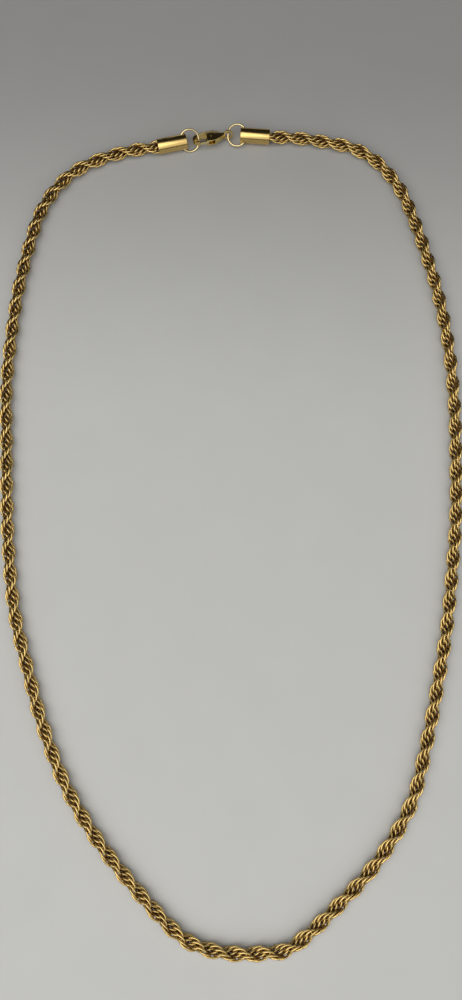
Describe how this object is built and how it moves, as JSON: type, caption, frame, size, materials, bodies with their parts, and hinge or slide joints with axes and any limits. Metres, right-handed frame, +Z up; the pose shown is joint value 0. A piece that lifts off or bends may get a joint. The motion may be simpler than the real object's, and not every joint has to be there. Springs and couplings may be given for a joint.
{
  "type": "rope chain necklace",
  "caption": "Gold-tone rope chain necklace laid in a closed loop, with round end caps, jump rings and a lobster clasp.",
  "frame": {"origin": "middle of the laid loop, on the surface that the necklace lies on", "axes": "+Y along the loop's long way, towards the clasp; +Z up from the surface; +X to the right"},
  "size_m": [0.1353, 0.2388, 0.0045],
  "materials": {
    "rope_gold": "polished",
    "fitting_gold": "polished"
  },
  "bodies": {
    "necklace": {"rope_chain": "rope_gold", "end_cap_left": "fitting_gold", "end_cap_right": "fitting_gold", "jump_ring_left": "fitting_gold", "jump_ring_right": "fitting_gold", "clasp_body": "fitting_gold", "clasp_pin": "fitting_gold"},
    "lever": {"clasp_lever": "fitting_gold"}
  },
  "joints": [
    {"name": "lever_hinge", "type": "hinge", "parent": "necklace", "child": "lever", "pos_m": [-0.00971, 0.11429, 0.00249], "axis": [0.0984, -0.3947, -0.9135], "range_deg": [0, 18], "stiffness_Nm_per_rad": 0.001}
  ]
}
